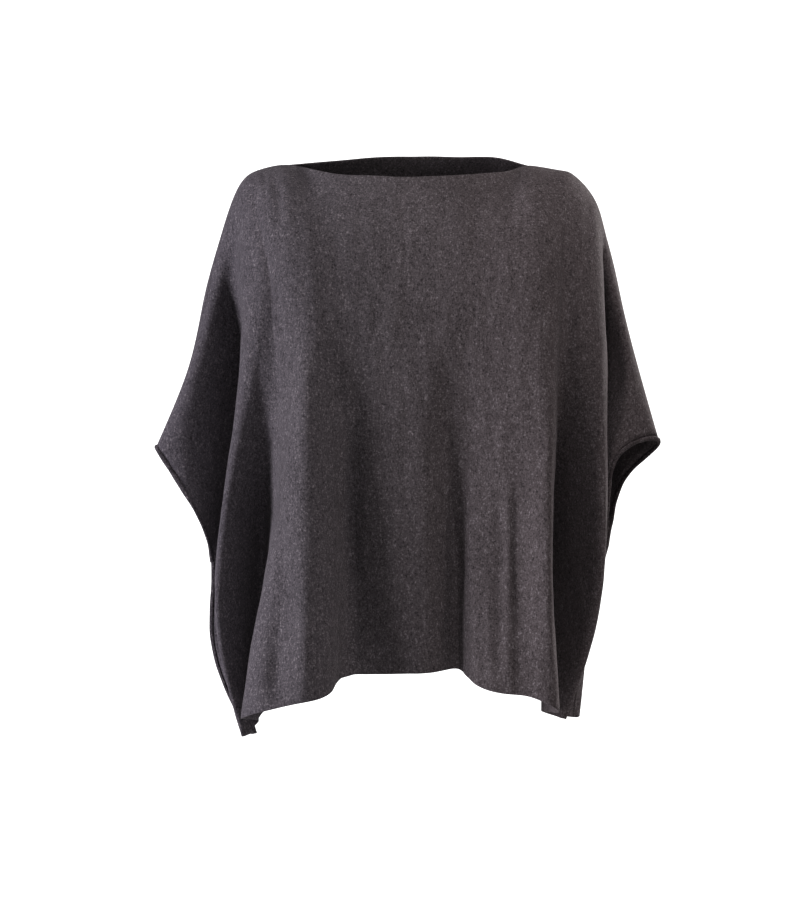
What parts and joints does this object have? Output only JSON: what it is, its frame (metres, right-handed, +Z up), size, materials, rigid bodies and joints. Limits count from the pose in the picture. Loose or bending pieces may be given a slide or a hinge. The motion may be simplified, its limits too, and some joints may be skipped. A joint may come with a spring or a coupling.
{
  "type": "knitted poncho sweater",
  "caption": "Hollow worn poncho sweater of fine felted knit with a wide boat neck, drooping batwing sides, rolled arm edges, raised side seams and soft hanging folds.",
  "frame": {"origin": "middle of the neck opening, level with the tops of the shoulders, where the wearer's shoulders hold the garment up", "axes": "+Z up along the garment's length, -Y to its front, +X to the wearer's left"},
  "size_m": [0.6149, 0.2913, 0.7157],
  "materials": {
    "knit": "soft matt felted knit, heathered charcoal",
    "edge_knit": "soft matt knit, rolled edges and seams"
  },
  "bodies": {
    "root": {"front": "knit", "back": "knit", "cuff_edge_right": "edge_knit", "cuff_edge_left": "edge_knit", "side_seam_right": "edge_knit", "side_seam_left": "edge_knit"}
  },
  "joints": []
}
